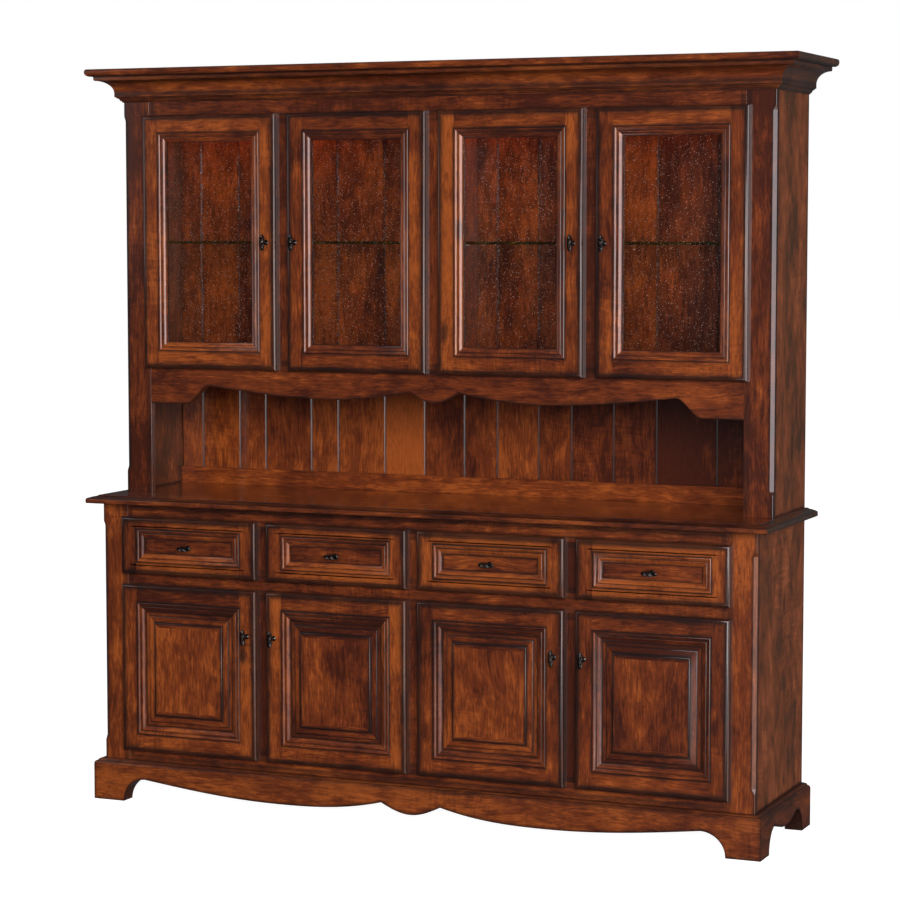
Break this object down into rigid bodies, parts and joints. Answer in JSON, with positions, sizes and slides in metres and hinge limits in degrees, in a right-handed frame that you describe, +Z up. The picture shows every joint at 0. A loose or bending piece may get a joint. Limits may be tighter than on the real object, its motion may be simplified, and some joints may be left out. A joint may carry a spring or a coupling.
{
  "type": "china cabinet",
  "caption": "Two-piece china cabinet: glazed hutch with a scalloped rail and open niche, standing on a buffet with drawers over panelled cupboards.",
  "frame": {"origin": "on the floor, under the middle of the whole cabinet's box", "axes": "+X to the viewer's right along the cabinet's width, +Y from the front to the back, +Z up"},
  "size_m": [2.0944, 0.4986, 2.078],
  "materials": {
    "stained_wood": "red-brown stain with dark glaze in the mouldings and a satin lacquer",
    "side_wood": "darker red-brown stain with a satin lacquer",
    "inner_wood": "stained plywood with a thin matt lacquer",
    "drawer_wood": "pale hardwood with a clear matt lacquer",
    "seeded_glass": "clear glass with small bubbles",
    "shelf_glass": "clear float glass with polished green edges",
    "black_iron": "black waxed wrought iron",
    "hinge_steel": "nickel-plated steel",
    "lamp_lens": "frosted lens over a warm lamp"
  },
  "bodies": {
    "root": {"base_back": "inner_wood", "base_face_frame": "stained_wood", "base_floor": "inner_wood", "base_left_side": "side_wood", "base_partition": "inner_wood", "base_right_side": "side_wood", "buffet_top": "stained_wood", "crown_moulding": "stained_wood", "cupboard_shelf_left": "inner_wood", "cupboard_shelf_right": "inner_wood", "drawer_deck": "inner_wood", "glass_shelf_left": "shelf_glass", "glass_shelf_right": "shelf_glass", "hutch_back_boards": "stained_wood", "hutch_back_rail": "stained_wood", "hutch_cap": "stained_wood", "hutch_face_frame": "stained_wood", "hutch_floor": "stained_wood", "hutch_left_side": "side_wood", "hutch_partition": "stained_wood", "hutch_right_side": "side_wood", "plinth_front": "stained_wood", "plinth_left": "side_wood", "plinth_right": "side_wood"},
    "upper_door_1": {"upper_door_1_frame": "stained_wood", "upper_door_1_glass": "seeded_glass", "upper_door_1_pull": "black_iron"},
    "upper_door_2": {"upper_door_2_frame": "stained_wood", "upper_door_2_glass": "seeded_glass", "upper_door_2_pull": "black_iron"},
    "upper_door_3": {"upper_door_3_frame": "stained_wood", "upper_door_3_glass": "seeded_glass", "upper_door_3_pull": "black_iron"},
    "upper_door_4": {"upper_door_4_frame": "stained_wood", "upper_door_4_glass": "seeded_glass", "upper_door_4_pull": "black_iron"},
    "lower_door_1": {"lower_door_1_frame": "stained_wood", "lower_door_1_panel": "stained_wood", "lower_door_1_pull": "black_iron"},
    "lower_door_2": {"lower_door_2_frame": "stained_wood", "lower_door_2_panel": "stained_wood", "lower_door_2_pull": "black_iron"},
    "lower_door_3": {"lower_door_3_frame": "stained_wood", "lower_door_3_panel": "stained_wood", "lower_door_3_pull": "black_iron"},
    "lower_door_4": {"lower_door_4_frame": "stained_wood", "lower_door_4_panel": "stained_wood", "lower_door_4_pull": "black_iron"},
    "drawer_1": {"drawer_1_front": "stained_wood", "drawer_1_box": "drawer_wood", "drawer_1_pull": "black_iron"},
    "drawer_2": {"drawer_2_front": "stained_wood", "drawer_2_box": "drawer_wood", "drawer_2_pull": "black_iron"},
    "drawer_3": {"drawer_3_front": "stained_wood", "drawer_3_box": "drawer_wood", "drawer_3_pull": "black_iron"},
    "drawer_4": {"drawer_4_front": "stained_wood", "drawer_4_box": "drawer_wood", "drawer_4_pull": "black_iron"}
  },
  "joints": [
    {"name": "upper_door_1_hinge", "type": "hinge", "parent": "root", "child": "upper_door_1", "pos_m": [-0.894, -0.0745, 1.58885], "axis": [0, 0, -1], "range_deg": [0, 110]},
    {"name": "upper_door_2_hinge", "type": "hinge", "parent": "root", "child": "upper_door_2", "pos_m": [-0.02075, -0.0745, 1.58885], "axis": [0, 0, 1], "range_deg": [0, 85]},
    {"name": "upper_door_3_hinge", "type": "hinge", "parent": "root", "child": "upper_door_3", "pos_m": [0.02075, -0.0745, 1.58885], "axis": [0, 0, -1], "range_deg": [0, 85]},
    {"name": "upper_door_4_hinge", "type": "hinge", "parent": "root", "child": "upper_door_4", "pos_m": [0.894, -0.0745, 1.58885], "axis": [0, 0, 1], "range_deg": [0, 110]},
    {"name": "lower_door_1_hinge", "type": "hinge", "parent": "root", "child": "lower_door_1", "pos_m": [-0.896, -0.212, 0.38485], "axis": [0, 0, -1], "range_deg": [0, 110]},
    {"name": "lower_door_2_hinge", "type": "hinge", "parent": "root", "child": "lower_door_2", "pos_m": [-0.01835, -0.212, 0.38485], "axis": [0, 0, 1], "range_deg": [0, 85]},
    {"name": "lower_door_3_hinge", "type": "hinge", "parent": "root", "child": "lower_door_3", "pos_m": [0.01835, -0.212, 0.38485], "axis": [0, 0, -1], "range_deg": [0, 85]},
    {"name": "lower_door_4_hinge", "type": "hinge", "parent": "root", "child": "lower_door_4", "pos_m": [0.896, -0.212, 0.38485], "axis": [0, 0, 1], "range_deg": [0, 110]},
    {"name": "drawer_1_slide", "type": "slide", "parent": "root", "child": "drawer_1", "axis": [0, -1, 0], "range_m": [0, 0.3]},
    {"name": "drawer_2_slide", "type": "slide", "parent": "root", "child": "drawer_2", "axis": [0, -1, 0], "range_m": [0, 0.3]},
    {"name": "drawer_3_slide", "type": "slide", "parent": "root", "child": "drawer_3", "axis": [0, -1, 0], "range_m": [0, 0.3]},
    {"name": "drawer_4_slide", "type": "slide", "parent": "root", "child": "drawer_4", "axis": [0, -1, 0], "range_m": [0, 0.3]}
  ]
}
